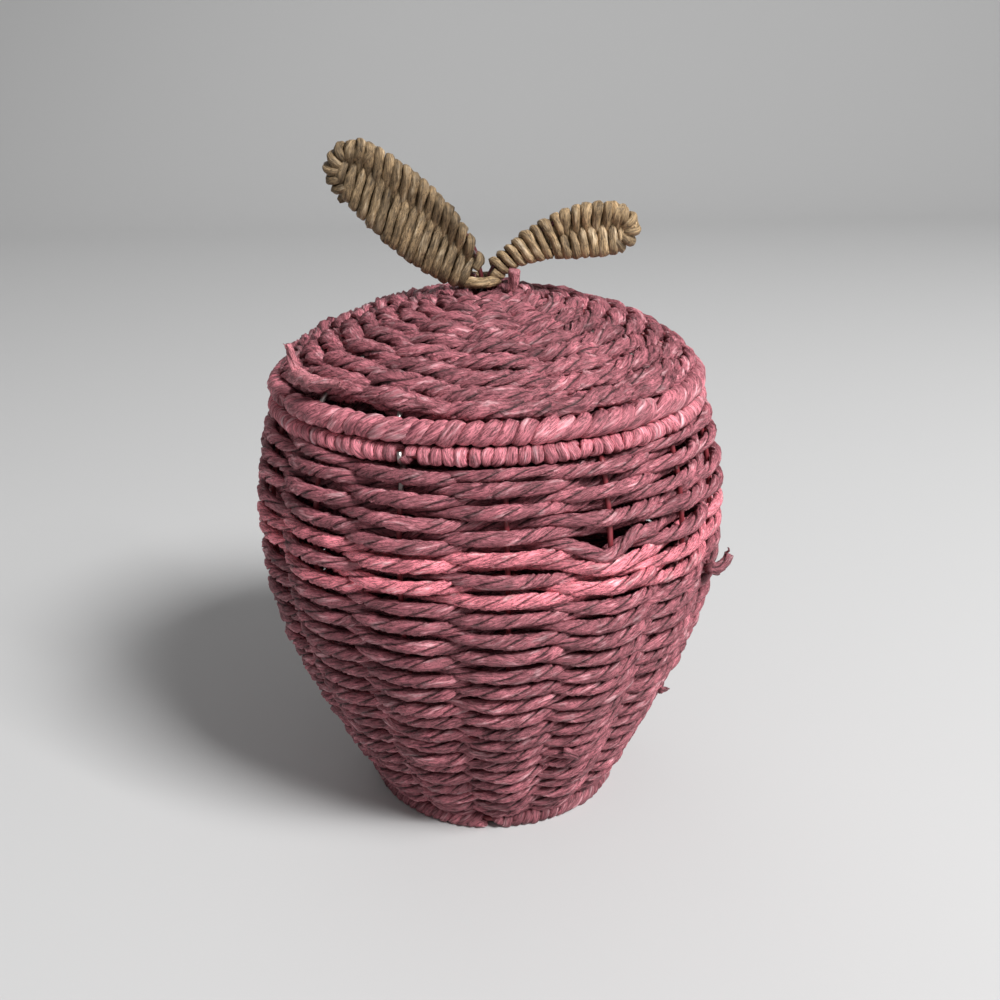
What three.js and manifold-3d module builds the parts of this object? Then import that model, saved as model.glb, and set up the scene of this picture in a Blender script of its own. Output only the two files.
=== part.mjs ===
// A lidded basket in the shape of an apple: paper rope woven on a wire frame, with two bound leaves on the lid.
// Millimetres, +Z up. It stands on z = 0 and its front faces -Y. Angles run from the front towards the right.
import * as THREE from "three";
import { mergeVertices } from "three/addons/utils/BufferGeometryUtils.js";
import Module from "manifold-3d";

const wasm = await Module();
wasm.setup();

// General fits
const gap = 0.3; // between pieces that touch on the real basket
const rad = THREE.MathUtils.degToRad;

// Basket body, outer shape
const footRadius = 47.5;
const bellyRadius = 85;
const bellyHeight = 110.6;
const mouthRadius = 75.5;
const bodyHeight = 157.9; // top of the mouth ring
const footFlare = 0.45; // outward slope of the wall at the foot
const mouthDraw = 0.5; // inward slope of the wall at the mouth

// Upright wires
const stakeCount = 15;
const stakeWire = 1.3; // diameter
const stakeStart = rad(171.5); // the first one stands at the back, where the rope starts
const stakeSides = 4;
const stakeSteps = 6; // straight lengths up the wall
const stakeTopSteps = 3; // the highest length, where the wall turns in, is made of this many
const stakeBend = { rise: 4, reach: 5, knee: [2.2, 0.9] }; // the turn from the wall into the bottom
const hubRadius = 9; // the wires stop this far from the centre of the bottom

// Woven wall and bottom
const wallThickness = 9.4; // both passes of the rope and the wire between them
const wallRows = 20;
const wallRelief = 2.2; // from the crown of a float down to a pass behind the wire
const bandFirstRow = 14; // the pink rows
const bandLastRow = 17;
const innerStep = 4; // the inner face has one ring for this many rows
const bottomThickness = 7.6;
const bottomHeight = 3.2; // underside of the woven bottom
const bottomRings = 3;
const bottomRelief = 1;

// Bound rings: section diameter over the binding, and the wire inside
const mouthRingSection = 6;
const lidRingSection = 7;
const footRingSection = 5.6;
const ringWire = 2.4;
const footWire = 2.2;
const footFlat = 0.5; // depth of the flat that the basket stands on
const mouthSteps = 36;
const footSteps = 28;
const bindingSides = 6;
const ringWireSides = 5;
const mouthBreak = rad(-20.5); // where the binding parts at the front wire
const lidBreak = rad(-62);
const footBreak = rad(-3);
const breakWidth = 3; // length of bare wire at a break

// Lid
const lidOverhang = 0.6; // the lid reaches this far past the mouth, each side
const lidRise = 29.9; // from the middle of the lid's ring to the crown
const lidCrownReach = 28.4; // how far the dome stays level from the centre
const lidShoulderInset = 2.2;
const lidShoulderRise = 15.8;
const lidThickness = 8;
const lidSpokes = 14;
const lidWire = 1.3;
const lidStart = rad(183.4);
const lidRows = 12;
const lidRelief = 1.8;
const spokeSteps = 5;
const spokeRise = 1.5; // straight part of a lid wire above the ring
const crownHole = 6; // the leaf wires pass through here

// Leaves: foot, bend and tip are [x, height above the crown]
const leafWire = 1.6;
const leafWireSides = 5;
const twine = 2;
const twineSides = 5;
const loopSteps = 14;
const turnReach = 2.7; // from the wire's centre to the twine's centre at a turn
const pinch = 3.2; // where the leaf is narrower than this each side, the twine goes round both wires
const leafSteps = 36;
const leftLeaf = {
  name: "leaf_left",
  foot: [-4.5, 6.6],
  bend: [-26, 27.4],
  tip: [-49.2, 45.8],
  halfWidth: 8.6,
  widest: 0.5,
  fullness: 0.35,
  legs: [-3.7, -1.5],
  firstTurn: 0.075,
  lastTurn: 0.94,
};
const rightLeaf = {
  name: "leaf_right",
  foot: [2.6, 5.4],
  bend: [21, 19.9],
  tip: [50.5, 18.6],
  halfWidth: 6,
  widest: 0.72,
  fullness: 0.6,
  legs: [3.7, 1.5],
  firstTurn: 0.11,
  lastTurn: 0.95,
};
const eightPitch = 5; // from one figure of eight to the next
const roundPitch = 2.7; // from one plain turn to the next
const leafOpening = 0.34; // where the outline starts and ends, as an angle round it
const legDepth = 7; // how far the leaf wires reach down into the crown
const legRise = 5.2; // straight part of a leg above the crown
const legSpacing = 2.2; // between the two legs of one leaf

// Twine tied round the legs
const tieReach = 6.6; // half its length from side to side
const tieDepth = 3.2; // half its length from front to back
const tieTurns = 1.1;
const tieTwine = 2.6;
const tiePitch = 3;
const tieSteps = 20; // for each turn

// Loose rope ends: angles round the basket in degrees
// A seat is how deep the end lies between the floats
const lidEnd = { thickness: 4.8, lift: 0.5, tail: 8.5, lean: 2, seat: 0.95, radius: 69.3, from: -43, to: -61 };
const crownEnd = { thickness: 3.8, tail: 6.8, lean: 1.3, seat: 1.75, radius: 10.8, angle: 56 };
const bellyEnd = { thickness: 3.2, tail: 5, droop: 1.5, seat: 1.15, belowBand: 6.5, from: 65, to: 69 };
const endSides = 6;

// Derived sizes
const mouthRingHeight = bodyHeight - mouthRingSection / 2;
const mouthRingRadius = bodyRadius(mouthRingHeight) - mouthRingSection / 2;
const lidRadius = mouthRadius + lidOverhang;
const lidRingHeight = bodyHeight + gap + lidRingSection / 2;
const lidRingRadius = lidRadius - lidRingSection / 2;
const lidTop = lidRingHeight + lidRise;
const footRingHeight = footRingSection / 2 - footFlat;
const footRingRadius = footRadius - footRingSection / 2;
const footRingTop = footRingHeight + (footRingSection / 2) * Math.cos(Math.PI / bindingSides);
const weaveBottom = footRingTop + gap;
const weaveTop = bodyHeight - mouthRingSection - gap;
const rowPitch = (weaveTop - weaveBottom) / wallRows;
const lidFloor = lidRingHeight + lidRingSection / 2 + gap;

// Cubic between two values, with a slope at each end
function hermite(t, a, b, slopeA, slopeB) {
  const t2 = t * t;
  const t3 = t2 * t;
  return (2 * t3 - 3 * t2 + 1) * a + (t3 - 2 * t2 + t) * slopeA + (3 * t2 - 2 * t3) * b + (t3 - t2) * slopeB;
}

// Outer radius of the basket at a height
function bodyRadius(z) {
  if (z < bellyHeight) {
    return hermite(z / bellyHeight, footRadius, bellyRadius, footFlare * bellyHeight, 0);
  }
  const span = bodyHeight - bellyHeight;
  return hermite((z - bellyHeight) / span, bellyRadius, mouthRadius, 0, -mouthDraw * span);
}

// The dome's outer line from the centre (0) to the ring (1): x is the radius and y the height
const dome = new THREE.CubicBezierCurve(
  new THREE.Vector2(0, lidTop),
  new THREE.Vector2(lidCrownReach, lidTop),
  new THREE.Vector2(lidRadius - lidShoulderInset, lidRingHeight + lidShoulderRise),
  new THREE.Vector2(lidRadius, lidRingHeight),
);

// A point of the dome's line, moved inwards by a depth
function domePoint(t, depth) {
  const p = dome.getPoint(t);
  const along = dome.getTangent(t);
  return new THREE.Vector2(p.x + along.y * depth, p.y - along.x * depth);
}

// The place on the dome's line at a radius, or at a height
function domeAt(reached) {
  let low = 0;
  let high = 1;
  for (let i = 0; i < 40; i++) {
    const middle = (low + high) / 2;
    if (reached(dome.getPoint(middle))) high = middle;
    else low = middle;
  }
  return (low + high) / 2;
}

// A point at an angle round the basket's axis
function at(angle, radius, height) {
  return new THREE.Vector3(radius * Math.sin(angle), -radius * Math.cos(angle), height);
}

function geometryOf(points, faces) {
  const geometry = new THREE.BufferGeometry().setFromPoints(points);
  geometry.setIndex(faces);
  return geometry;
}

// A closed skin: rings of points, each joined to the next. The last ring joins the first, or each end is capped.
function skin(rings, closed) {
  const size = rings[0].length;
  const points = rings.flat();
  const faces = [];
  const joins = closed ? rings.length : rings.length - 1;
  for (let c = 0; c < joins; c++) {
    const next = (c + 1) % rings.length;
    for (let k = 0; k < size; k++) {
      const over = (k + 1) % size;
      const a = c * size + k;
      const b = next * size + k;
      const d = next * size + over;
      const e = c * size + over;
      faces.push(a, b, d, a, d, e);
    }
  }
  if (!closed) {
    const last = (rings.length - 1) * size;
    for (let k = 1; k < size - 1; k++) {
      faces.push(0, k, k + 1);
      faces.push(last, last + k + 1, last + k);
    }
  }
  return geometryOf(points, faces);
}

// A solid tube through points, with frames carried along so that it does not twist; its radius may taper
function tube(path, radius, sides) {
  const size = typeof radius === "function" ? radius : () => radius;
  const normal = new THREE.Vector3();
  const rings = path.map((p, i) => {
    const before = path[Math.max(i - 1, 0)];
    const after = path[Math.min(i + 1, path.length - 1)];
    const along = after.clone().sub(before).normalize();
    if (i === 0) normal.set(0, 1, 0);
    if (i === 0 && Math.abs(along.y) > 0.9) normal.set(1, 0, 0);
    normal.addScaledVector(along, -normal.dot(along)).normalize();
    const side = along.clone().cross(normal);
    const r = size(i / (path.length - 1));
    const ring = [];
    for (let k = 0; k < sides; k++) {
      const turn = (-2 * Math.PI * (k + 0.5)) / sides;
      const point = p.clone();
      point.addScaledVector(normal, r * Math.cos(turn));
      point.addScaledVector(side, r * Math.sin(turn));
      ring.push(point);
    }
    return ring;
  });
  return skin(rings, false);
}

// Boolean work on closed geometries
function solid(geometry) {
  const bare = new THREE.BufferGeometry().setAttribute("position", geometry.getAttribute("position"));
  if (geometry.index) bare.setIndex(geometry.index);
  const merged = mergeVertices(bare, 1e-4);
  return new wasm.Manifold(
    new wasm.Mesh({
      numProp: 3,
      vertProperties: new Float32Array(merged.attributes.position.array),
      triVerts: new Uint32Array(merged.index.array),
    }),
  );
}

function geometryFrom(manifold) {
  const mesh = manifold.getMesh();
  const geometry = new THREE.BufferGeometry();
  geometry.setAttribute("position", new THREE.BufferAttribute(new Float32Array(mesh.vertProperties), 3));
  geometry.setIndex(new THREE.BufferAttribute(new Uint32Array(mesh.triVerts), 1));
  return geometry;
}

function cut(geometry, cutters) {
  let body = solid(geometry);
  for (const cutter of cutters) body = body.subtract(solid(cutter));
  return geometryFrom(body);
}

// Finishes
const burgundy = { color: 0x8a4a57, roughness: 0.75, metalness: 0 };
const pink = { color: 0xc05a6a, roughness: 0.75, metalness: 0 };
const olive = { color: 0x9c8c6c, roughness: 0.85, metalness: 0 };
const wireFinish = { color: 0xa9989a, roughness: 0.4, metalness: 0.9 };

const group = new THREE.Group();

function add(parent, name, geometry, finish) {
  const flat = geometry.index ? geometry.toNonIndexed() : geometry;
  flat.computeVertexNormals();
  const mesh = new THREE.Mesh(flat, new THREE.MeshStandardMaterial(finish));
  mesh.name = name;
  parent.add(mesh);
}

// Upright wires: down the middle of the wall, round a bend and in over the foot ring to the centre
const wallMiddle = wallThickness / 2;
const bottomMiddle = bottomHeight + bottomThickness / 2;

function stakeLine(extra) {
  const bendHeight = bottomMiddle + stakeBend.rise;
  const step = (weaveTop - bendHeight) / stakeSteps;
  const heights = [weaveTop + extra];
  for (let i = 1; i < stakeTopSteps; i++) heights.push(weaveTop - (i * step) / stakeTopSteps);
  for (let i = 1; i <= stakeSteps; i++) heights.push(weaveTop - i * step);
  const line = heights.map((z) => [bodyRadius(z) - wallMiddle, z]);
  const bendRadius = bodyRadius(bendHeight) - wallMiddle;
  line.push([bendRadius - stakeBend.knee[0], bottomMiddle + stakeBend.knee[1]]);
  line.push([bendRadius - stakeBend.reach, bottomMiddle]);
  line.push([hubRadius - extra, bottomMiddle]);
  return line;
}

function stake(index, diameter, extra) {
  const angle = stakeStart + (index * 2 * Math.PI) / stakeCount;
  const path = stakeLine(extra).map(([r, z]) => at(angle, r, z));
  return tube(path, diameter / 2, stakeSides);
}

// One length of the wall's weave: floats over every other wire, passes behind the ones between
function wallLength(firstRow, lastRow) {
  const low = firstRow === 0 ? 0 : gap / 2;
  const high = lastRow === wallRows ? 0 : gap / 2;
  const columns = stakeCount * 2;
  const rings = [];
  for (let c = 0; c < columns; c++) {
    const angle = stakeStart + (c * Math.PI) / stakeCount;
    const heightOf = (row) => {
      if (row === firstRow) return weaveBottom + row * rowPitch + low;
      if (row === lastRow) return weaveBottom + row * rowPitch - high;
      return weaveBottom + row * rowPitch;
    };
    const ring = [];
    for (let row = firstRow; row <= lastRow; row++) {
      const z = heightOf(row);
      const behind = c % 2 === 1 ? 0.5 : (c / 2 + row) % 2;
      ring.push(at(angle, bodyRadius(z) - wallRelief * behind, z));
    }
    const innerRows = Math.max(1, Math.round((lastRow - firstRow) / innerStep));
    for (let i = innerRows; i >= 0; i--) {
      const z = THREE.MathUtils.lerp(heightOf(firstRow), heightOf(lastRow), i / innerRows);
      ring.push(at(angle, bodyRadius(z) - wallThickness, z));
    }
    rings.push(ring);
  }
  return skin(rings, true);
}

// The woven bottom: a round mat between the walls, carried by the same wires
function bottomMat() {
  const outer = bodyRadius(bottomHeight + bottomThickness) - wallThickness - gap;
  const ringInside = footRingRadius - footRingSection / 2 - gap;
  const wallInside = bodyRadius(weaveBottom) - wallThickness - gap;
  const reach = Math.min(outer, ringInside, wallInside);
  const line = [[0, bottomHeight]];
  for (let i = 1; i <= bottomRings; i++) {
    const drop = i % 2 === 1 ? 0 : bottomRelief;
    line.push([(reach * i) / bottomRings, bottomHeight + drop]);
  }
  for (let i = bottomRings; i >= 1; i--) {
    const drop = i % 2 === 1 ? 0 : bottomRelief;
    line.push([(reach * i) / bottomRings, bottomHeight + bottomThickness - drop]);
  }
  line.push([0, bottomHeight + bottomThickness]);
  const profile = line.map(([r, z]) => new THREE.Vector2(r, z));
  const mat = new THREE.LatheGeometry(profile, stakeCount * 2);
  mat.rotateX(Math.PI / 2);
  mat.rotateZ(stakeStart);
  return mat;
}

// A bound ring's wire, and its binding: a hollow sleeve that stops short of a full turn. firstSide turns the
// section: with 0 it lies on a flat, with 0.5 on an edge.
function ringWireGeometry(radius, height, diameter, steps) {
  const wire = new THREE.TorusGeometry(radius, diameter / 2, ringWireSides, steps);
  wire.translate(0, 0, height);
  return wire;
}

function binding(radius, height, section, wire, steps, breakAngle, firstSide) {
  const half = breakWidth / 2 / radius;
  const angles = [];
  const stepAngle = (2 * Math.PI) / steps;
  const first = breakAngle + half;
  const last = breakAngle + 2 * Math.PI - half;
  angles.push(first);
  for (let k = Math.ceil(first / stepAngle + 0.3); k * stepAngle < last - 0.3 * stepAngle; k++) {
    angles.push(k * stepAngle);
  }
  angles.push(last);
  const bore = wire / 2 + gap;
  const rings = angles.map((angle) => {
    const sectionOf = (size, corner) => {
      const ring = [];
      for (let k = 0; k < bindingSides; k++) {
        const turn = (2 * Math.PI * (k + corner)) / bindingSides;
        const z = Math.max(height + size * Math.sin(turn), 0);
        ring.push(at(angle, radius + size * Math.cos(turn), z));
      }
      return ring;
    };
    return { outer: sectionOf(section / 2, firstSide), inner: sectionOf(bore, 0.5) };
  });
  return sleeve(rings);
}

// A hollow tube with flat annular ends
function sleeve(rings) {
  const size = rings[0].outer.length;
  const points = rings.flatMap((ring) => [...ring.outer, ...ring.inner]);
  const faces = [];
  const quad = (a, b, c, d) => faces.push(a, b, c, a, c, d);
  for (let i = 0; i < rings.length - 1; i++) {
    const here = i * 2 * size;
    const next = here + 2 * size;
    for (let k = 0; k < size; k++) {
      const over = (k + 1) % size;
      quad(here + k, next + k, next + over, here + over);
      quad(here + size + k, here + size + over, next + size + over, next + size + k);
    }
  }
  const end = (rings.length - 1) * 2 * size;
  for (let k = 0; k < size; k++) {
    const over = (k + 1) % size;
    quad(k, over, size + over, size + k);
    quad(end + k, end + size + k, end + size + over, end + over);
  }
  return geometryOf(points, faces);
}

// Lid wires: from above the ring to the crown, inside the dome's thickness
const lidMiddle = lidThickness / 2;
const domeEdge = domeAt((p) => p.y < lidFloor);
const domeCrown = domeAt((p) => p.x > crownHole);

function spoke(index, diameter, extra) {
  const angle = lidStart + (index * 2 * Math.PI) / lidSpokes;
  const path = [];
  const foot = domePoint(domeEdge, lidMiddle);
  path.push(at(angle, foot.x, lidFloor - extra));
  path.push(at(angle, foot.x, lidFloor + spokeRise));
  for (let i = 1; i <= spokeSteps; i++) {
    const t = THREE.MathUtils.lerp(domeEdge, domeCrown, i / (spokeSteps + 0.3));
    const p = domePoint(t, lidMiddle);
    path.push(at(angle, p.x, p.y));
  }
  return tube(path, diameter / 2, stakeSides);
}

// The lid's weave: a domed shell with the same over-and-under relief, open at the crown
function domeWeave() {
  const columns = lidSpokes * 2;
  const innerRows = Math.round(lidRows / innerStep);
  const rings = [];
  for (let c = 0; c < columns; c++) {
    const angle = lidStart + (c * Math.PI) / lidSpokes;
    const ring = [];
    for (let row = 0; row <= lidRows; row++) {
      const t = THREE.MathUtils.lerp(domeEdge, domeCrown, row / lidRows);
      const behind = c % 2 === 1 ? 0.5 : (c / 2 + row) % 2;
      const p = domePoint(t, row === 0 || row === lidRows ? 0 : lidRelief * behind);
      ring.push(at(angle, p.x, p.y));
    }
    for (let i = innerRows; i >= 0; i--) {
      const t = THREE.MathUtils.lerp(domeEdge, domeCrown, i / innerRows);
      const p = domePoint(t, lidThickness);
      const radius = i === innerRows ? crownHole : p.x;
      ring.push(at(angle, radius, Math.max(p.y, lidFloor)));
    }
    rings.push(ring);
  }
  return skin(rings, true);
}

// A leaf lies in an upright plane: s runs from its foot to its tip, and half is its width each side
function leafShape(leaf) {
  const flat = ([x, rise]) => new THREE.Vector3(x, 0, lidTop + rise);
  const axis = new THREE.QuadraticBezierCurve3(flat(leaf.foot), flat(leaf.bend), flat(leaf.tip));
  const power = Math.log(0.5) / Math.log(leaf.widest);
  const half = (s) => {
    const width = leaf.halfWidth * Math.max(Math.sin(Math.PI * s ** power), 0) ** leaf.fullness;
    return s < 0.5 ? Math.max(width, legSpacing / 2) : width;
  };
  const place = (s, across, out) => {
    const along = axis.getTangentAt(s);
    const side = new THREE.Vector3(along.z, 0, -along.x);
    const point = axis.getPointAt(s);
    point.addScaledVector(side, across);
    point.y -= out;
    return point;
  };
  return { half, place, length: axis.getLength() };
}

// The leaf's wire: up one leg, round the outline and down the other leg
function leafFrame(leaf) {
  const { half, place } = leafShape(leaf);
  const bottom = lidTop - legDepth;
  const side = Math.sign(leaf.tip[0]);
  const path = [];
  path.push(new THREE.Vector3(leaf.legs[0], 0, bottom));
  path.push(new THREE.Vector3(leaf.legs[0], 0, lidTop + legRise));
  for (let i = 0; i <= leafSteps; i++) {
    const turn = THREE.MathUtils.lerp(leafOpening, 2 * Math.PI - leafOpening, i / leafSteps);
    const s = (1 - Math.cos(turn)) / 2;
    const across = turn < Math.PI ? half(s) : -half(s);
    path.push(place(s, across * side, 0));
  }
  path.push(new THREE.Vector3(leaf.legs[1], 0, lidTop + legRise));
  path.push(new THREE.Vector3(leaf.legs[1], 0, bottom));
  return path;
}

// The twine: one run of turns round both wires where the leaf is narrow, and figures of eight beyond
function leafTwine(leaf) {
  const { half, place, length } = leafShape(leaf);
  const path = [];
  let s = leaf.firstTurn;
  let loops = 0;
  while (s < leaf.lastTurn) {
    const eight = half(s) > pinch;
    const advance = (eight ? eightPitch : roundPitch) / length;
    for (let i = 0; i < loopSteps; i++) {
      const turn = (2 * Math.PI * i) / loopSteps;
      const here = Math.min(s + (advance * i) / loopSteps, 1);
      const reach = half(here) + turnReach;
      const across = reach * Math.sin(turn);
      const out = eight ? turnReach * Math.sin(2 * turn) : turnReach * Math.cos(turn);
      path.push(place(here, across, out));
    }
    s += advance;
    loops += 1;
  }
  return { path, loops };
}

// Least distance between points of a winding that are not close along it, less the cord itself
function leastGap(path, cord, skip) {
  let least = Infinity;
  for (let i = 0; i < path.length; i++) {
    for (let k = i + skip; k < path.length; k++) {
      least = Math.min(least, path[i].distanceTo(path[k]));
    }
  }
  return least - cord;
}

// Twine tied round the four leaf wires, lying on the crown
function leafTie() {
  const path = [];
  const height = lidTop + gap + tieTwine / 2;
  const steps = Math.round(tieTurns * tieSteps);
  for (let i = 0; i <= steps; i++) {
    const turn = (2 * Math.PI * tieTurns * i) / steps;
    const rise = (tiePitch * tieTurns * i) / steps;
    path.push(new THREE.Vector3(-tieReach * Math.sin(turn), tieDepth * Math.cos(turn), height + rise));
  }
  return path;
}

// Loose ends of rope: one folded along the lid's edge, a tuft at the crown and a stub on the belly
function onDome(angle, radius, height) {
  const p = domePoint(domeAt((q) => q.x > radius), -height);
  return at(rad(angle), p.x, p.y);
}

// The end of a rope that stands up from a point, leaning outwards
function standing(foot, angle, lean, tail) {
  const rise = at(rad(angle), lean, tail);
  return [foot, foot.clone().addScaledVector(rise, 0.5), foot.clone().add(rise)];
}

function looseEnd(path, thickness) {
  const points = new THREE.CatmullRomCurve3(path).getPoints(8);
  return tube(points, (t) => (thickness / 2) * (1 - 0.6 * t * t), endSides);
}

function lidLooseEnd() {
  const { thickness, lift, tail, lean, seat, radius, from, to } = lidEnd;
  const lie = thickness / 2 + gap - seat;
  return looseEnd(
    [
      onDome(from, radius, lie),
      onDome((from + to) / 2, radius, lie),
      ...standing(onDome(to, radius, lie + lift), to, lean, tail),
    ],
    thickness,
  );
}

function crownLooseEnd() {
  const { thickness, tail, lean, seat, radius, angle } = crownEnd;
  const lie = thickness / 2 + gap - seat;
  return looseEnd(standing(onDome(angle, radius, lie), angle, lean, tail), thickness);
}

function bellyLooseEnd() {
  const { thickness, tail, droop, seat, belowBand, from, to } = bellyEnd;
  const height = weaveBottom + bandFirstRow * rowPitch - belowBand;
  const lie = bodyRadius(height) + thickness / 2 + gap - seat;
  return looseEnd(
    [
      at(rad(from), lie, height + droop),
      at(rad((from + to) / 2), lie, height),
      at(rad(to), lie + tail, height - droop),
    ],
    thickness,
  );
}

// Build: the basket
for (let i = 0; i < stakeCount; i++) {
  const number = String(i + 1).padStart(2, "0");
  add(group, "body_stake_" + number, stake(i, stakeWire, 0), wireFinish);
}
const stakeHoles = Array.from({ length: stakeCount }, (_, i) => stake(i, stakeWire + 2 * gap, 2));
add(group, "body_weave_lower", cut(wallLength(0, bandFirstRow), stakeHoles), burgundy);
add(group, "body_weave_pink_band", cut(wallLength(bandFirstRow, bandLastRow), stakeHoles), pink);
add(group, "body_weave_upper", cut(wallLength(bandLastRow, wallRows), stakeHoles), burgundy);
add(group, "base_weave", cut(bottomMat(), stakeHoles), burgundy);
add(group, "rim_ring_wire", ringWireGeometry(mouthRingRadius, mouthRingHeight, ringWire, mouthSteps), wireFinish);
add(
  group,
  "rim_ring_binding",
  binding(mouthRingRadius, mouthRingHeight, mouthRingSection, ringWire, mouthSteps, mouthBreak, 0.5),
  burgundy,
);
add(group, "foot_ring_wire", ringWireGeometry(footRingRadius, footRingHeight, footWire, footSteps), wireFinish);
add(
  group,
  "foot_ring_binding",
  binding(footRingRadius, footRingHeight, footRingSection, footWire, footSteps, footBreak, 0),
  burgundy,
);

add(group, "belly_rope_end", bellyLooseEnd(), burgundy);

// Build: the lid
const lid = new THREE.Group();
group.add(lid);
for (let i = 0; i < lidSpokes; i++) {
  const number = String(i + 1).padStart(2, "0");
  add(lid, "lid_spoke_" + number, spoke(i, lidWire, 0), wireFinish);
}
const spokeHoles = Array.from({ length: lidSpokes }, (_, i) => spoke(i, lidWire + 2 * gap, 2));
add(lid, "lid_weave", cut(domeWeave(), spokeHoles), burgundy);
add(lid, "lid_ring_wire", ringWireGeometry(lidRingRadius, lidRingHeight, ringWire, mouthSteps), wireFinish);
add(
  lid,
  "lid_ring_binding",
  binding(lidRingRadius, lidRingHeight, lidRingSection, ringWire, mouthSteps, lidBreak, 0.5),
  burgundy,
);
for (const leaf of [leftLeaf, rightLeaf]) {
  add(lid, leaf.name + "_wire", tube(leafFrame(leaf), leafWire / 2, leafWireSides), wireFinish);
  const { path, loops } = leafTwine(leaf);
  add(lid, leaf.name + "_twine", tube(path, twine / 2, twineSides), olive);
  const least = leastGap(path, twine, Math.floor(loopSteps / 2) - 1);
  console.log(leaf.name + ": " + loops + " loops, least gap to itself " + least.toFixed(2) + " mm");
}
add(lid, "lid_rope_end", lidLooseEnd(), pink);
add(lid, "crown_rope_end", crownLooseEnd(), pink);
add(lid, "leaf_tie", tube(leafTie(), tieTwine / 2, endSides), olive);

export default group;
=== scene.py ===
"""Looks of the apple-shaped basket: paper rope woven on a wire frame, a lid and twine-bound leaves."""

import math

import bmesh
import bpy
import numpy as np
from bpy.props import FloatProperty, FloatVectorProperty, IntProperty, PointerProperty
from mathutils import Matrix, Vector


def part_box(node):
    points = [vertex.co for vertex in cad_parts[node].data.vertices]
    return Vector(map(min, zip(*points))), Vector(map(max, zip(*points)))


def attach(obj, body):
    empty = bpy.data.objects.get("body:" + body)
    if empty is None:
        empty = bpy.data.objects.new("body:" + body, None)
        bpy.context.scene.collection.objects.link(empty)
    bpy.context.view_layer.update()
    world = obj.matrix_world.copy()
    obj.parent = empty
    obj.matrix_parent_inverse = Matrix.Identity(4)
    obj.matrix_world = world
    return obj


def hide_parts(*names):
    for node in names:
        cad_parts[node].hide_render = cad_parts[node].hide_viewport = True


bl_info = {
    "name": "Woven apple basket",
    "version": (1, 0, 0),
    "blender": (4, 5, 0),
    "location": "View3D > Sidebar > Basket",
    "description": "Weaves a lidded basket of paper rope round its wire frame",
    "category": "Add Mesh",
}

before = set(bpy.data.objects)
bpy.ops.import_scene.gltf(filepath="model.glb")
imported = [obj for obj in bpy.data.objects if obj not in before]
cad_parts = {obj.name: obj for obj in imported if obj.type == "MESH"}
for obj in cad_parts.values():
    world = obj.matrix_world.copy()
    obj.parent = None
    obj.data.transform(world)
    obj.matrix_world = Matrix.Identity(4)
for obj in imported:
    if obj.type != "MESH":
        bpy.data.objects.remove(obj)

MM = 0.001


def low(node):
    """Lowest height of a frame node, in millimetres."""
    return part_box(node)[0].z / MM


def high(node):
    """Greatest height of a frame node, in millimetres."""
    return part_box(node)[1].z / MM


# Shape of the basket's wall, in millimetres
FOOT_RADIUS = 47.5
BELLY_RADIUS = 85.0
BELLY_HEIGHT = 110.6
MOUTH_RADIUS = 75.5
MOUTH_HEIGHT = high("rim_ring_binding")
FOOT_FLARE = 0.45
MOUTH_DRAW = 0.50
WALL_MIDDLE = 4.7
STAKE_ANGLE = math.radians(3.5)
STAKES = 15

# Shape of the lid
LID_RADIUS = 76.1
LID_TOP = 191.6
LID_RING_HEIGHT = (low("lid_ring_binding") + high("lid_ring_binding")) / 2
LID_REACH = 28.4
LID_SHOULDER = (73.2, 177.5)
LID_MIDDLE = 4.0
LID_SPOKES = 14
SPOKE_ANGLE = math.radians(3.4)


def sized(value, text):
    """A size of the basket that can be changed in the panel, from its value in millimetres."""
    return FloatProperty(description=text, default=value * MM, min=0.0001, unit="LENGTH", precision=4)


def coloured(value, text):
    """A colour of the basket that can be changed in the panel."""
    return FloatVectorProperty(description=text, default=value, size=3, min=0, max=1, subtype="COLOR")


class BasketSizes(bpy.types.PropertyGroup):
    """Sizes of rope, wire and weave."""

    rope: sized(4.7, "Diameter of the wall's two-ply rope")
    row: sized(3.4, "Distance from one round of rope to the next")
    lay: sized(20.0, "Length in which the rope's plies turn once")
    lid_rope: sized(5.6, "Diameter of the lid's rope")
    lid_row: sized(3.6, "Distance between rounds of the lid's rope")
    stake: sized(1.7, "Diameter of the painted wires")
    rim_turn: sized(3.7, "Distance between turns round the mouth ring")
    foot_turn: sized(3.5, "Distance between turns round the foot ring")
    lid_turn: sized(5.3, "Distance between turns round the lid's ring")
    twine: sized(3.2, "Diameter of the leaves' twine")
    outline: IntProperty(description="Points round the rope", default=18, min=8, max=24)


class BasketColours(bpy.types.PropertyGroup):
    """Colours of rope, twine and wire."""

    # Crease colours below are painted shade; ridge colours are partly worn fibre and partly a painted
    # highlight
    rope: coloured((0.425, 0.134, 0.162), "Burgundy paper rope")
    rope_wear_and_highlight: coloured((0.680, 0.360, 0.390), "Worn ridges of the burgundy rope")
    rope_crease_shade: coloured((0.090, 0.020, 0.030), "Creases of the burgundy rope")
    pink: coloured((0.880, 0.255, 0.310), "Pink length of rope")
    pink_wear_and_highlight: coloured((1.000, 0.560, 0.590), "Worn ridges of the pink rope")
    mauve: coloured((0.780, 0.285, 0.325), "Mauve of the rope's loose ends on the lid")
    mauve_wear_and_highlight: coloured((0.950, 0.560, 0.600), "Worn ridges of the mauve ends")
    olive: coloured((0.330, 0.224, 0.120), "Olive paper twine of the leaves")
    olive_wear_and_highlight: coloured((0.560, 0.430, 0.280), "Worn ridges of the twine")
    olive_crease_shade: coloured((0.070, 0.046, 0.024), "Creases of the twine")
    paint: coloured((0.250, 0.038, 0.048), "Red paint on the frame wire")
    bare: coloured((0.560, 0.520, 0.500), "Wire where the paint is off")
    floor: coloured((0.560, 0.560, 0.560), "Floor and backdrop")


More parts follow.
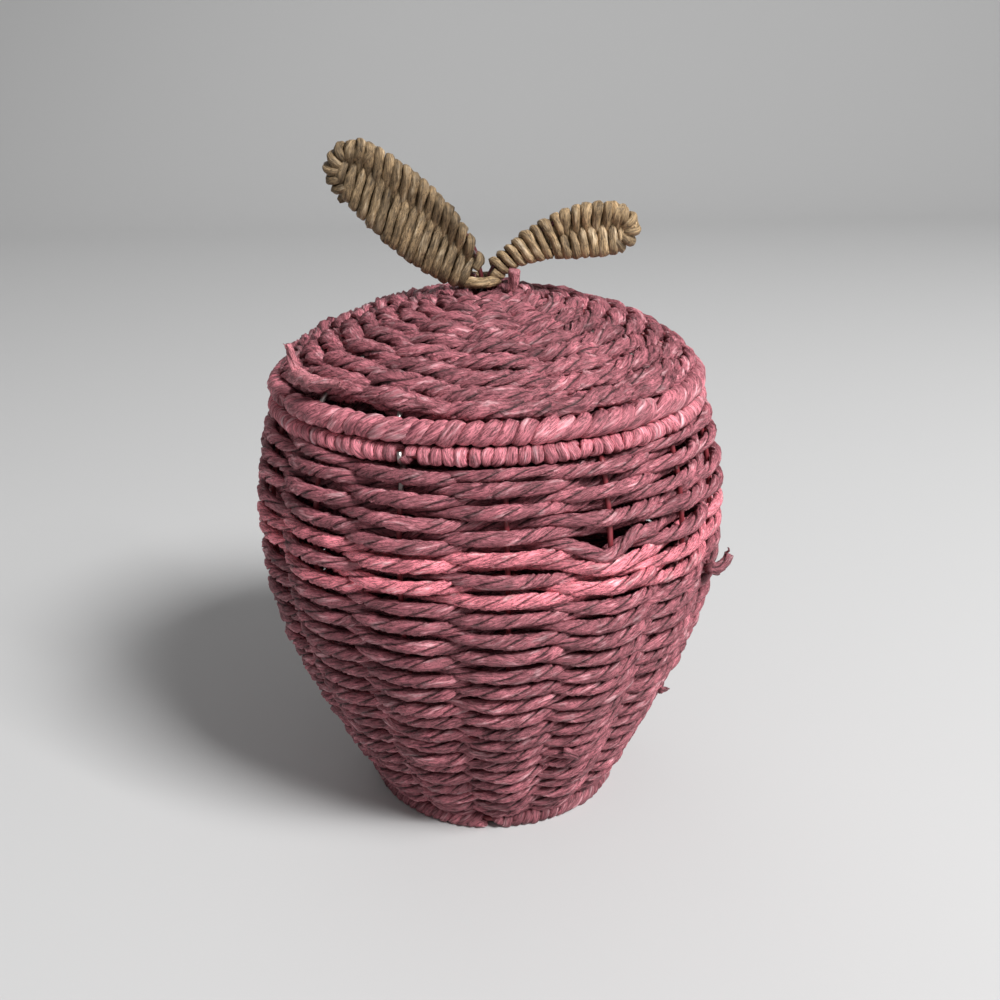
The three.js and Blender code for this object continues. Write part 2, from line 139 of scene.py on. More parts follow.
def sizes():
    """The size properties in millimetres, by name."""
    group = bpy.context.scene.basket_sizes
    return {key: getattr(group, key) / (1 if key == "outline" else MM) for key in group.__annotations__}


def hermite(t, start, end, slope_start, slope_end):
    """Cubic from start to end with set slopes."""
    t2, t3 = t * t, t * t * t
    return (
        (2 * t3 - 3 * t2 + 1) * start
        + (t3 - 2 * t2 + t) * slope_start
        + (3 * t2 - 2 * t3) * end
        + (t3 - t2) * slope_end
    )


def body_radius(z):
    """Outer radius of the wall at a height."""
    z = np.asarray(z, float)
    span = MOUTH_HEIGHT - BELLY_HEIGHT
    below = hermite(z / BELLY_HEIGHT, FOOT_RADIUS, BELLY_RADIUS, FOOT_FLARE * BELLY_HEIGHT, 0)
    above = hermite((z - BELLY_HEIGHT) / span, BELLY_RADIUS, MOUTH_RADIUS, 0, -MOUTH_DRAW * span)
    return np.where(z < BELLY_HEIGHT, below, above)


def lid_profile(steps=600):
    """Outer line of the dome from crown to ring, as rows of radius and height."""
    t = np.linspace(0, 1, steps)[:, None]
    corners = [(0, LID_TOP), (LID_REACH, LID_TOP), LID_SHOULDER, (LID_RADIUS, LID_RING_HEIGHT)]
    a, b, c, d = (np.array(p, float) for p in corners)
    return (1 - t) ** 3 * a + 3 * (1 - t) ** 2 * t * b + 3 * (1 - t) * t**2 * c + t**3 * d


class Profile:
    """A line of radius and height, read by its arc length, with its outward normal."""

    def __init__(self, line):
        steps = np.hypot(*np.diff(line, axis=0).T)
        self.arc = np.concatenate([[0], np.cumsum(steps)])
        self.length = self.arc[-1]
        self.line = line
        self.along = unit(np.gradient(line, axis=0))

    def at(self, s, depth):
        """Radius and height at an arc length, moved outwards by depth."""
        s = np.clip(s, 0, self.length)
        r, z = (np.interp(s, self.arc, self.line[:, k]) for k in (0, 1))
        tr, tz = (np.interp(s, self.arc, self.along[:, k]) for k in (0, 1))
        side = 1 if self.line[-1, 1] > self.line[0, 1] else -1
        return r + side * tz * depth, z - side * tr * depth


def around(angle, radius, height):
    """Points at angles from the front towards the right, as rows of x, y, z in millimetres."""
    angle, radius, height = np.broadcast_arrays(angle, radius, height)
    return np.stack([radius * np.sin(angle), -radius * np.cos(angle), height], -1)


def wander(rng, where, spacing, amount):
    """Smooth random offsets along a length, one new value for each spacing."""
    last = int(np.max(where) / spacing) + 3
    knots = rng.normal(0, amount, last + 2)
    t = where / spacing
    i = np.floor(t).astype(int)
    f = t - i
    f = f * f * (3 - 2 * f)
    return knots[i] * (1 - f) + knots[i + 1] * f


def smooth(value):
    """A soft step from 0 to 1."""
    value = np.clip(value, 0, 1)
    return value * value * (3 - 2 * value)


def unit(rows):
    """The same directions with a length of 1."""
    return rows / np.linalg.norm(rows, axis=-1, keepdims=True)


def angle_of(path):
    """Angles of points round the basket, from the front towards the right."""
    return np.arctan2(path[:, 0], -path[:, 1])


def run_length(path):
    """Length along a path up to each of its points."""
    return np.concatenate([[0], np.cumsum(np.linalg.norm(np.diff(path, axis=0), axis=1))])


def evened(path, step, *extras):
    """The same path, and values along it, with points at an even step."""
    length = run_length(path)
    where = np.linspace(0, length[-1], max(int(length[-1] / step), 4))
    even = np.stack([np.interp(where, length, path[:, k]) for k in range(3)], -1)
    return even, where, *(np.interp(where, length, extra) for extra in extras)


def plied_outline(points, groove=0.46):
    """Outline of two twisted plies: a circle of radius 1 with a groove on each side, drawn clockwise."""
    angle = -2 * math.pi * np.arange(points) / points
    radius = np.ones(points)
    for centre in (0, math.pi):
        apart = np.angle(np.exp(1j * (angle - centre)))
        radius -= groove * np.exp(-((apart / 0.23) ** 2))
    return np.stack([radius * np.cos(angle), radius * np.sin(angle)], -1)


def round_outline(points):
    """A plain round outline, drawn clockwise."""
    return plied_outline(points, groove=0)


def add_object(name, data):
    """A new object of the scene."""
    holder = bpy.data.objects.new(name, data)
    bpy.context.scene.collection.objects.link(holder)
    return holder


def poly_curve(name, points, closed):
    """A curve object with one straight-edged spline."""
    curve = bpy.data.curves.new(name, "CURVE")
    curve.dimensions = "3D"
    spline = curve.splines.new("POLY")
    spline.points.add(len(points) - 1)
    flat = np.concatenate([points, np.ones((len(points), 1))], 1)
    spline.points.foreach_set("co", flat.ravel())
    spline.use_cyclic_u = closed
    return add_object(name, curve)


def sweep(name, path, outline, size, tilt=None, squeezes=(), crumple=0.0, seed=0, closed=False, level=False):
    """A cord: an outline swept along a path in millimetres and made a mesh.

    size is the radius along the path and tilt turns the outline. Each of squeezes is (directions, factors)
    that flattens or widens it, and crumple is the share by which creases lift or sink the surface. The UV map
    runs in millimetres along the cord and from 0 to 1 round it. A level path keeps the outline upright.
    """
    count, sides = len(path), len(outline)
    shape = poly_curve(name + "_outline", np.concatenate([outline, np.zeros((sides, 1))], 1) * MM, True)
    line = poly_curve(name + "_path", path * MM, closed)
    line.data.bevel_mode = "OBJECT"
    line.data.bevel_object = shape
    line.data.use_fill_caps = False
    line.data.twist_mode = "Z_UP" if level else "MINIMUM"
    points = line.data.splines[0].points
    points.foreach_set("radius", np.broadcast_to(np.asarray(size, float), count))
    if tilt is not None:
        points.foreach_set("tilt", tilt)
    bpy.context.view_layer.update()
    mesh = bpy.data.meshes.new_from_object(line.evaluated_get(bpy.context.evaluated_depsgraph_get()))
    for holder in (line, shape):
        curve = holder.data
        bpy.data.objects.remove(holder)
        bpy.data.curves.remove(curve)
    shape_points(mesh, path, sides, squeezes, crumple, seed)
    uv = uv_of(mesh)
    uv[::2] *= run_length(path)[-1]
    mesh.uv_layers[0].data.foreach_set("uv", uv)
    if not closed:
        cap_ends(mesh)
    mesh.name = name
    return mesh


def uv_of(mesh):
    """The mesh's UV map in one flat row."""
    uv = np.zeros(len(mesh.loops) * 2, np.float32)
    mesh.uv_layers[0].data.foreach_get("uv", uv)
    return uv


def shape_points(mesh, path, sides, squeezes, crumple, seed):
    """Flattens and crumples a swept cord, whose points lie in rings round its path."""
    count = len(path)
    co = np.zeros(len(mesh.vertices) * 3, np.float32)
    mesh.vertices.foreach_get("co", co)
    rings = co.reshape(count, sides, 3).astype(float)
    centre = path[:, None] * MM
    arm = rings - centre
    for directions, factors in squeezes:
        directions = directions[:, None]
        reach = (arm * directions).sum(-1, keepdims=True)
        arm = arm + directions * reach * (np.asarray(factors).reshape(-1, 1, 1) - 1)
    if crumple:
        rng = np.random.default_rng(seed)
        noise, fine = rng.normal(0, 1, (2, count, sides))
        spread = np.array([1, 3, 5, 6, 5, 3, 1]) / math.sqrt(106)  # the squares of the weights add up to 1
        for k in range(sides):
            noise[:, k] = np.convolve(noise[:, k], spread, "same")
        arm = arm * (1 + crumple * (noise + 0.4 * fine))[..., None]
    mesh.vertices.foreach_set("co", (centre + arm).astype(np.float32).ravel())
    mesh.update()


def cap_ends(mesh):
    """Closes the two ends of a swept cord."""
    bm = bmesh.new()
    bm.from_mesh(mesh)
    edges = [e for e in bm.edges if e.is_boundary]
    bmesh.ops.holes_fill(bm, edges=edges, sides=0)
    bmesh.ops.triangulate(bm, faces=[f for f in bm.faces if len(f.verts) > 4])
    bm.to_mesh(mesh)
    bm.free()


def joined(name, meshes):
    """One mesh of several cords."""
    bm = bmesh.new()
    for mesh in meshes:
        bm.from_mesh(mesh)
        bpy.data.meshes.remove(mesh)
    whole = bpy.data.meshes.new(name)
    bm.to_mesh(whole)
    bm.free()
    return whole


def place(name, mesh, body, look, node=None):
    """Adds a finished piece, which rides on a body. It stands for a frame node, or is a small bit of rope."""
    mesh.shade_smooth()
    mesh.materials.clear()
    mesh.materials.append(finish(look))
    piece = add_object(name, mesh)
    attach(piece, body)
    if node:
        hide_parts(node)


FOLD_LEAN = 0.028  # turns for each millimetre by which the rope's folds lean away from its plies


class Nodes:
    """Short ways to build a material."""

    def __init__(self, name):
        self.material = bpy.data.materials.new(name)
        self.material.use_nodes = True
        self.tree = self.material.node_tree
        self.shader = self.tree.nodes["Principled BSDF"]

    def feed(self, value, socket):
        """Links an output to a socket, or sets the socket's own number, vector or colour."""
        if isinstance(value, bpy.types.NodeSocket):
            self.tree.links.new(value, socket)
        else:
            socket.default_value = (*value, 1) if socket.type == "RGBA" else value

    def node(self, kind, inputs=None, **settings):
        """A new node with its settings, and its inputs by name or place."""
        node = self.tree.nodes.new("ShaderNode" + kind)
        for key, value in settings.items():
            setattr(node, key, value)
        for key, value in (inputs or {}).items():
            self.feed(value, node.inputs[key])
        return node

    def surface(self, inputs):
        """The finished material, from the shader's inputs."""
        for key, value in inputs.items():
            self.feed(value, self.shader.inputs[key])
        return self.material

    def parts(self, vector):
        return self.node("SeparateXYZ", {"Vector": vector}).outputs

    def noise(self, vector, scales, detail, rough):
        scaled = self.node("Mapping", {"Vector": vector, "Scale": scales}).outputs["Vector"]
        inputs = {"Vector": scaled, "Scale": 1.0, "Detail": detail, "Roughness": rough}
        return self.node("TexNoise", inputs).outputs["Fac"]

    def ramp(self, value, stops):
        ramp = self.node("ValToRGB", {"Fac": value})
        elements = ramp.color_ramp.elements
        while len(elements) < len(stops):
            elements.new(0.5)
        for element, (position, colour) in zip(elements, stops):
            element.position = position
            element.color = (*colour, 1)
        return ramp.outputs["Color"]

    def mix(self, factor, first, second, blend="MIX"):
        inputs = {0: factor, 6: first, 7: second}
        return self.node("Mix", inputs, data_type="RGBA", blend_type=blend).outputs[2]

    def shade(self, colour, value, stops, share=1.0):
        """The colour times a grey ramp of a value, whose stops are two positions with their greys."""
        return self.mix(share, colour, self.grey(value, stops), "MULTIPLY")

    def grey(self, value, stops):
        return self.ramp(value, [(stops[0], (stops[1],) * 3), (stops[2], (stops[3],) * 3)])

    def math(self, operation, first, second=0.0):
        return self.node("Math", {0: first, 1: second}, operation=operation).outputs["Value"]

    def bump(self, height, strength, distance, before=None):
        inputs = {"Height": height, "Strength": strength, "Distance": distance}
        if before is not None:
            inputs["Normal"] = before
        return self.node("Bump", inputs).outputs["Normal"]


def paper_material(name, tones, around, pinks=None, plies=True):
    """Twisted paper: folds and fibres along the plies, painted shade in the creases and between the plies,
    and pale ridges that are partly worn and partly a painted highlight.

    tones are the creases' colour, a painted shade, the paper's own colour, and the ridges' colour, partly
    wear and partly a painted highlight. around is the way round the cord in millimetres, so that the pattern
    keeps its scale. With pinks, a second three, it also grows lighter with height, a painted light for the
    upper rows.
    """
    made = Nodes(name)
    uv = made.node("TexCoord").outputs["UV"]
    long, across, _ = made.parts(uv)
    lines = uv
    if plies:
        # The paper's folds lie nearer to the rope's length than its plies do
        turned = made.math("SUBTRACT", across, made.math("MULTIPLY", long, FOLD_LEAN))
        lines = made.node("CombineXYZ", {"X": long, "Y": turned}).outputs["Vector"]
    folds = made.noise(lines, (0.12, around * 0.50, 1), 5.0, 0.62)
    fibres = made.noise(lines, (0.26, around * 1.5, 1), 4.0, 0.70)
    tone = made.noise(uv, (0.02, 0.3, 1), 3.0, 0.6)
    patches = made.noise(uv, (0.11, around * 0.12, 1), 2.0, 0.5)

    # The folds' ramp paints shade where they sink and a highlight, over the worn paper, where they rise
    def folded(dark, middle, light):
        return made.ramp(folds, list(zip((0.34, 0.45, 0.55, 0.68), (dark, middle, middle, light))))

    colour = folded(*tones)
    if pinks is not None:
        pink = made.node("Attribute", attribute_name="pink").outputs["Fac"]
        colour = made.mix(pink, colour, folded(*pinks))
        # Painted light: the rows grow lighter towards the mouth, where the upper wall catches more light
        height = made.parts(made.node("TexCoord").outputs["Object"])["Z"]
        share = made.math("DIVIDE", height, high("body_weave_upper") * MM)
        colour = made.shade(colour, share, (0.60, 1.0, 0.76, 1.12))
    colour = made.shade(colour, tone, (0.36, 0.74, 0.64, 1.18))
    colour = made.shade(colour, patches, (0.36, 0.74, 0.64, 1.28))
    colour = made.shade(colour, fibres, (0.38, 0.52, 0.60, 1.24))
    # Painted shade: thin dark lines along the creases, where the folds pass their middle; the bump below
    # sinks them too
    crease = made.math("ABSOLUTE", made.math("SUBTRACT", folds, 0.5))
    colour = made.shade(colour, crease, (0.0, 0.10, 0.022, 1.0), 0.85)
    if plies:
        # Painted shade in the grooves between the two plies
        groove = made.math("ABSOLUTE", made.math("SINE", made.math("MULTIPLY", across, 2 * math.pi)))
        colour = made.shade(colour, groove, (0.02, 0.10, 0.24, 1.0), 0.95)
    rough = made.grey(folds, (0.35, 0.68, 0.66, 0.44))
    relief = made.bump(made.mix(0.40, folds, fibres), 1.0, 0.0015)
    relief = made.bump(crease, 0.7, 0.0009, relief)
    inputs = {"Base Color": colour, "Roughness": rough, "Specular IOR Level": 0.36, "Normal": relief}
    return made.surface(inputs)


def wire_material(name, paint, bare):
    """Frame wire: red paint, scratched off to grey metal in places, and gone above a height."""
    light, share, bare_above = WIRES[name]
    made = Nodes(name)
    where = made.node("TexCoord").outputs["Object"]
    patches = made.noise(where, (190.0,) * 3, 5.0, 0.7)
    mask = made.grey(patches, (share, 0, share + 0.06, 1))
    if bare_above is not None:
        past = made.math("GREATER_THAN", made.parts(where)["Z"], bare_above * MM)
        mask = made.math("MAXIMUM", mask, past)
    grain = made.noise(where, (900.0,) * 3, 3.0, 0.6)
    metal = made.ramp(grain, [(0.3, [0.6 * v for v in bare]), (0.7, bare)])
    colour = made.mix(mask, [light * v for v in paint], metal)
    rough = made.grey(patches, (0.3, 0.45, 0.7, 0.3))
    relief = made.bump(grain, 0.3, 0.0001)
    return made.surface({"Base Color": colour, "Metallic": mask, "Roughness": rough, "Normal": relief})


# How light the paint is, from which value of a noise on it is off, and above which height it is gone
WIRES = {
    "painted_wire": (1.0, 0.62, None),
    "bare_wire": (1.0, 0.30, None),
    "scraped_wire": (1.0, 0.62, 142.0),
    # The leaf wires' paint is drawn darker, a painted shade for wires that lie in the twine's shade
    "leaf_wire": (0.4, 0.62, None),
}
# Painted light: lighter or darker copies of the one rope and twine, one for each bound piece, for the light
# or shade that falls on it. The rings at the mouth and the lid, the right leaf and the tie are drawn lighter,
# the foot ring and the left leaf darker.
PAINTED_LIGHT = {  # how light the rope or twine is where it's bound round something
    "rim_ring_binding": 1.78,
    "foot_ring_binding": 0.85,
    "lid_ring_binding": 1.39,
    "leaf_left_twine": 0.82,
    "leaf_right_twine": 1.26,
    "leaf_tie": 1.65,
}


def finish(name):
    """The finishes, each made once."""
    made = bpy.data.materials.get(name + "_paper" if name in PAINTED_LIGHT else name)
    if made is not None:
        return made
    c = bpy.context.scene.basket_colours
    rope = (c.rope_crease_shade, c.rope, c.rope_wear_and_highlight)
    olive = (c.olive_crease_shade, c.olive, c.olive_wear_and_highlight)
    if name == "wall_paper":
        # The pink's crease colour, a painted shade, is the pink darkened
        return paper_material(name, rope, 14.0, ([0.35 * v for v in c.pink], c.pink, c.pink_wear_and_highlight))
    if name == "rope_paper":
        return paper_material(name, rope, 15.0)
    if name in PAINTED_LIGHT:
        tones, around = (olive, 8.0) if name.startswith("leaf") else (rope, 11.0)
        # The piece's copy of the rope or twine is made lighter or darker, a painted light or shade
        shaded = [[min(1.0, PAINTED_LIGHT[name] * v) for v in tone] for tone in tones]
        return paper_material(name + "_paper", shaded, around, plies=False)
    if name == "mauve_paper":
        # The mauve's crease colour, a painted shade, is the mauve darkened
        tones = ([0.30 * v for v in c.mauve], c.mauve, c.mauve_wear_and_highlight)
        return paper_material(name, tones, 10.0, plies=False)
    return wire_material(name, c.paint, c.bare)


def wall_profile():
    """The line up the middle of the wall, where the upright wires stand."""
    z = np.linspace(low("body_weave_lower"), high("body_weave_upper"), 500)
    return Profile(np.stack([body_radius(z) - WALL_MIDDLE, z], -1))


def woven_path(profile, wires, wire_angle, arc_of, turns, swing, seed, shift=0.0, calm=0.0):
    """Rope that goes round along a profile, in front of one wire and behind the next.

    arc_of gives the arc length at a turn, turns are the first and the last one, swing is how far the rope's
    middle lies from the wires' line, and shift is 1 for a second rope that passes the wires the other way.
    Where the arc length is less than calm, the rope swings less and lies further out.
    Returns the path, the turn and the swing's share at each point.
    """
    rng = np.random.default_rng(seed)
    turn = np.linspace(*turns, int((turns[1] - turns[0]) * 200))
    wave = np.cos(math.pi * (wires * turn + shift))
    wave = np.sign(wave) * np.abs(wave) ** 0.8
    passed = wires * (turn - turn[0])
    s = arc_of(turn) + wander(rng, passed, 1.0, 0.28) + wander(rng, passed, 3.1, 0.30)
    depth = swing * wave * (1 + wander(rng, passed, 1.7, 0.12))
    if calm:
        share = np.clip(s / calm, 0.2, 1)
        depth = depth * share + (1 - share) * (swing * 0.8 + 1.0)
    r, z = profile.at(s, depth)
    return around(wire_angle + 2 * math.pi * turn, r, z), turn, wave


def rope_lengths(woven, diameter, lay, seed, taper=0.8, depth=0.84, width=(0.88, 1.05), wider=0.0):
    """Evenly spaced points of a two-ply rope with its size, twist and flattening at each of them.

    woven is its path, turn and swing. The rope is depth times as thick through the wall as its diameter.
    Along the wall it is squeezed to the first width where it crosses the wires' line and spreads to the
    second one where it lies on a wire. Where wider is 1 it is wider at the back, so that its rounds close up.
    taper is how many turns its thin ends are long.
    """
    path, turn, wave = woven
    path, where, turn, wave = evened(path, ROPE_STEP, turn, wave)
    rng = np.random.default_rng(seed)
    ends = np.minimum(turn - turn[0], turn[-1] - turn) / taper
    size = diameter / 2 * (1 + wander(rng, where, 8.0, 0.055)) * np.clip(0.35 + 0.65 * ends, 0, 1)
    tilt = -2 * math.pi * where / lay + wander(rng, where, 13.0, 0.55) + wander(rng, where, 60.0, 1.2)
    spread = width[0] + (width[1] - width[0]) * np.abs(wave)
    spread = spread * (1 + wider * np.interp(np.degrees(angle_of(path)) % 360, *WIDER_AT_BACK))
    return {"path": path, "turn": turn, "size": size, "tilt": tilt, "spread": spread, "depth": depth}


def rope_mesh(name, rope, normal, chosen, points, seed, crumple=0.055, groove=0.46):
    """The mesh of a chosen stretch of rope. normal gives the outward direction at points of its path."""
    path = rope["path"][chosen]
    out = normal(path)
    up = unit(np.cross(out, np.gradient(path, axis=0)))
    squeezes = ((out, np.full(len(path), rope["depth"])), (up, rope["spread"][chosen]))
    size, tilt = rope["size"][chosen], rope["tilt"][chosen]
    return sweep(name, path, plied_outline(points, groove), size, tilt, squeezes, crumple, seed, level=True)


def sideways(path):
    """Directions straight out from the basket's axis."""
    return unit(path * (1, 1, 0))


def from_middle(path):
    """Directions out from a point low under the lid, which lie about square to its dome."""
    return unit(path - (0, 0, LID_RING_HEIGHT - DOME_CENTRE))


ROPE_STEP = 1.7  # between the points of a rope's path
DOME_CENTRE = 62.0  # how far below the lid's ring the middle of its curve lies
WIDER_AT_BACK = ((82, 112, 172, 200, 250, 280), (0, 0.26, 0.26, 0.42, 0.42, 0))  # degrees and shares
BAND_TOP = 125.0  # height of the highest pink round at the front wire
SCRAPED_WIRE = 7  # the wire left of the front one, which shows in the mouth ring's break
WALL_SWING = 3.0
SLIP_ANGLE = math.radians(25.6)  # beside a front wire, where a round has slipped down
SLIP_PAST = math.radians(8.5)  # from there to where it lies highest
SLIPS = ((1.07, 4.0, 2.0), (0.07, 2.0, 1.0), (-0.93, 1.2, 0.4))  # rounds above the pink, drops and rises
BAND_ROUNDS = (-4.9, 0.6)  # where the pink band's length of rope begins and ends, from the top pink round
PINK_ROUNDS = ((-4.35, -2.5), (-1.95, 0.06))  # the pink stretches of it, with a burgundy one between them
SAG = 4.0  # how much lower the rounds lie on the right
SAG_HEIGHTS = (48.0, 118.0, 150.0)  # where the sag begins, is deepest and ends
TUCK = 1.5  # how much the lowest rounds are drawn in
TUCK_HEIGHTS = (7.0, 18.0)


def slipped(path, turn, top_turn):
    """Lets a round sag beside a wire and rise past it, so that a hole opens above. Two more follow it."""
    apart = angle_of(path) - SLIP_ANGLE
    sag = np.exp(-((apart / np.radians(np.where(apart < 0, 5.6, 3.5))) ** 2))
    past = np.exp(-(((apart - SLIP_PAST) / math.radians(3.5)) ** 2))
    for rounds, drop, rise in SLIPS:
        path[:, 2] += (rise * past - drop * sag) * np.exp(-(((turn - top_turn - rounds) / 0.35) ** 2))
    return path


def sagged(path):
    """Lets the rounds lie lower on the right of the basket, most of all at the belly."""
    angle = np.degrees(angle_of(path))
    share = smooth((angle - 6) / 24) * (1 - smooth((angle - 105) / 60))
    drop = SAG * share * smooth(np.interp(path[:, 2], SAG_HEIGHTS, (0, 1, 0)))
    lower = path[:, 2] - drop
    wider = body_radius(lower) / body_radius(path[:, 2])
    return np.stack([path[:, 0] * wider, path[:, 1] * wider, lower], -1)


def tucked(path):
    """Draws the lowest rounds in, so that the foot ring stands out below them."""
    share = 1 - smooth((path[:, 2] - TUCK_HEIGHTS[0]) / (TUCK_HEIGHTS[1] - TUCK_HEIGHTS[0]))
    nearer = 1 - TUCK * share / FOOT_RADIUS
    return np.stack([path[:, 0] * nearer, path[:, 1] * nearer, path[:, 2]], -1)


class BASKET_OT_wall(bpy.types.Operator):
    """Weaves the basket's wall in lengths of rope"""

    bl_idname = "basket.wall"
    bl_label = "Weave the wall"

    def execute(self, context):
        size = sizes()
        row = size["row"]
        profile = wall_profile()
        # Whole pairs of rounds lie between the foot and the top pink one, which passes in front of a wire
        top = float(np.interp(BAND_TOP, profile.line[:, 1], profile.arc))
        lowest = size["rope"] * 0.5
        highest = profile.length - size["rope"] * 0.42
        pink_turn = 2 * round((top - lowest) / row / 2)
        first = round(pink_turn - (top - lowest) / row - 1.5) + 0.5
        last = round(pink_turn + (highest - top) / row + 0.5) + 0.5

        def arc_of(turn):
            return np.clip(top + row * (turn - pink_turn), lowest, highest)

        path, turn, wave = woven_path(profile, STAKES, STAKE_ANGLE, arc_of, (first, last), WALL_SWING, 11)
        path = tucked(slipped(sagged(path), turn, pink_turn))
        rope = rope_lengths((path, turn, wave), size["rope"], size["lay"], 12, wider=1)
        low_cut, high_cut = (pink_turn + rounds for rounds in BAND_ROUNDS)
        middle = (first + low_cut) / 2
        stretches = (
            ("wall_rope_foot", first, middle, "body_weave_lower"),
            ("wall_rope_lower", middle, low_cut, "body_weave_lower"),
            ("wall_rope_band", low_cut, high_cut, "body_weave_pink_band"),
            ("wall_rope_upper", high_cut, last, "body_weave_upper"),
        )
        for index, (name, start, end, node) in enumerate(stretches):
            chosen = np.flatnonzero((rope["turn"] >= start) & (rope["turn"] <= end))
            chosen = slice(max(chosen[0] - 1, 0), chosen[-1] + 1)
            mesh = rope_mesh(name, rope, sideways, chosen, int(size["outline"]), 20 + index)
            add_pink(mesh, rope["path"][chosen], rope["turn"][chosen] - pink_turn)
            place(name, mesh, "basket", "wall_paper", node)
        return {"FINISHED"}


def add_pink(mesh, path, rounds):
    """Writes how pink the rope is along its length."""
    here = np.interp(uv_of(mesh)[::2], run_length(path), rounds)
    pink = np.zeros(len(here))
    for first, last in PINK_ROUNDS:
        pink += np.clip((here - first) / 0.04 + 0.5, 0, 1) * np.clip((last - here) / 0.04 + 0.5, 0, 1)
    attribute = mesh.attributes.new("pink", "FLOAT", "CORNER")
    attribute.data.foreach_set("value", np.clip(pink, 0, 1).astype(np.float32))


class BASKET_OT_bottom(bpy.types.Operator):
    """Weaves the basket's bottom"""

    bl_idname = "basket.bottom"
    bl_label = "Weave the bottom"

    def execute(self, context):
        size = sizes()
        row = size["row"]
        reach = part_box("base_weave")[1].x / MM - size["rope"] / 2
        # It falls by a hundredth of a millimetre on its way out
        height = np.linspace(BOTTOM_HEIGHT, BOTTOM_HEIGHT - 0.01, 200)
        profile = Profile(np.stack([np.linspace(BOTTOM_HOLE, reach, 200), height], -1))

        def arc_of(turn):
            return np.clip(row * turn, 0, profile.length)

        turns = (0.0, math.floor(profile.length / row) + 1.0)
        woven = woven_path(profile, STAKES, STAKE_ANGLE, arc_of, turns, BOTTOM_SWING, 31)
        rope = rope_lengths(woven, size["rope"] * 0.9, size["lay"], 32)
        mesh = rope_mesh("bottom_rope", rope, upwards, slice(None), int(size["outline"]), 33)
        place("bottom_rope", mesh, "basket", "rope_paper", "base_weave")
        return {"FINISHED"}


BOTTOM_HEIGHT = (low("base_weave") + high("base_weave")) / 2
BOTTOM_HOLE = 5.0  # radius at which the bottom's weave starts
BOTTOM_SWING = 1.6
STAKE_BEND = (3.6, 4.0)  # how far in and down an upright wire goes while it turns to the bottom
STAKE_FOOT = 8.0  # where that bend starts, as a length up the wall
HUB_RADIUS = 9.0  # where the upright wires end in the bottom
SPOKE_ENDS = (8.0, 3.5)  # from the lid's crown and from its rim to a lid wire's ends
BARE_SPOKES = (5, 6, 9)  # the lid's wires that have lost most of their paint
SCRAPED_TOP = ((2.1, 1.2), (2.0, -1.8))  # the bare wire's top, from the middle of the mouth ring's section


def upwards(path):
    """The upward direction at each point."""
    return np.tile([0.0, 0.0, 1.0], (len(path), 1))


def wire_angles(count, start):
    """Angles of wires evenly round the basket, the first of them near the back."""
    return start + 2 * math.pi * ((np.arange(count) + 7) % count) / count


def bent_wire(name, path, radius, body, look, node, closed=False):
    """A wire along a path, as a piece that stands for a frame node."""
    mesh = sweep(name, path, round_outline(10), radius, closed=closed)
    place(name, mesh, body, look, node)


class BASKET_OT_wires(bpy.types.Operator):
    """Bends the upright wires, the lid's wires and the rings' wires"""

    bl_idname = "basket.wires"
    bl_label = "Bend the wires"

    def execute(self, context):
        size = sizes()
        radius = size["stake"] / 2
        wall = wall_profile()
        r, z = wall.at(np.linspace(wall.length, STAKE_FOOT, 46), 0)
        bend = np.linspace(0, math.pi / 2, 7)[1:]
        inward, downward = STAKE_BEND
        r_in = r[-1] - inward + inward * np.cos(bend)
        z_in = BOTTOM_HEIGHT + downward - downward * np.sin(bend)
        r = np.concatenate([r, r_in, [HUB_RADIUS]])
        line = np.stack([r, np.concatenate([z, z_in, [BOTTOM_HEIGHT]])], -1)
        ring, height, _ = ring_of("rim_ring_binding")
        scraped = np.concatenate([np.array(SCRAPED_TOP) + (ring, height), line])
        for i, angle in enumerate(wire_angles(STAKES, STAKE_ANGLE)):
            node = f"body_stake_{i + 1:02d}"
            chosen, look = (scraped, "scraped_wire") if i == SCRAPED_WIRE else (line, "painted_wire")
            bent_wire(node + "_wire", around(angle, *chosen.T), radius, "basket", look, node)
        lid = Profile(lid_profile())
        r, z = lid.at(np.linspace(SPOKE_ENDS[0], lid.length - SPOKE_ENDS[1], 40), -LID_MIDDLE)
        for i, angle in enumerate(wire_angles(LID_SPOKES, SPOKE_ANGLE)):
            node = f"lid_spoke_{i + 1:02d}"
            look = "bare_wire" if i in BARE_SPOKES else "painted_wire"
            bent_wire(node + "_wire", around(angle, r, z), radius, "lid", look, node)
        angle = np.linspace(0, 2 * math.pi, 181)[:-1]
        for node in ("rim_ring_wire", "foot_ring_wire", "lid_ring_wire"):
            body = "lid" if node == "lid_ring_wire" else "basket"
            lower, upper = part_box(node)
            # The frame's own wire has five sides
            radius = (upper.z - lower.z) / MM / 2 / math.sin(math.radians(72))
            path = around(angle, upper.x / MM - radius, (upper.z + lower.z) / MM / 2)
            bent_wire(node + "_round", path, radius, body, "painted_wire", node, closed=True)
        return {"FINISHED"}


def ring_of(node):
    """Ring radius, height and section radius of a bound ring, from its frame node."""
    lower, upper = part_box(node)
    section = (upper.z - lower.z) / MM / 2
    reach = (upper.x - lower.x) / MM / 2
    # For a section of six sides with one of them outwards, as at the mouth and the lid
    return reach - section * math.cos(math.radians(30)), (upper.z + lower.z) / MM / 2, section


